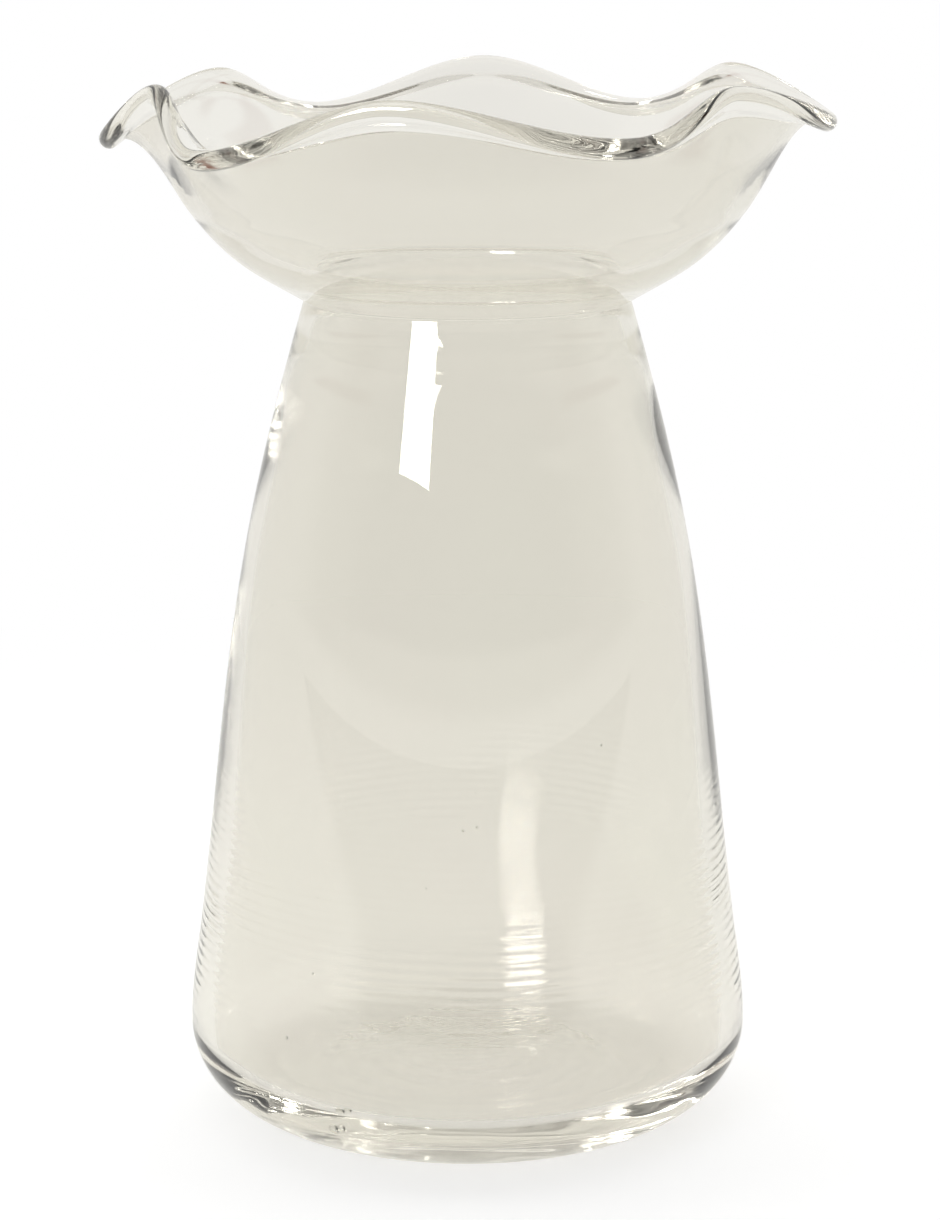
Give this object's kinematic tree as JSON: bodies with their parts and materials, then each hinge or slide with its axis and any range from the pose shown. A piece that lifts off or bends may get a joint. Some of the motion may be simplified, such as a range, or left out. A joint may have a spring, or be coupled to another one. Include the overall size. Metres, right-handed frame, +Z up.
{
  "type": "hyacinth forcing vase",
  "caption": "Clear blown glass bulb vase: heavy rounded foot, tapering water chamber, pinched neck that holds a bulb, and a flared cup with a hand-crimped wavy rim.",
  "frame": {"origin": "centre of the flat ring that the glass stands on", "axes": "+Z up along the glass's axis; the side that faces the camera is -Y"},
  "size_m": [0.1086, 0.1038, 0.1582],
  "materials": {
    "glass": "clear blown glass, fire-polished, faintly warm"
  },
  "bodies": {
    "root": {"base": "glass", "body": "glass", "neck": "glass", "bowl": "glass", "ruffle": "glass"}
  },
  "joints": []
}
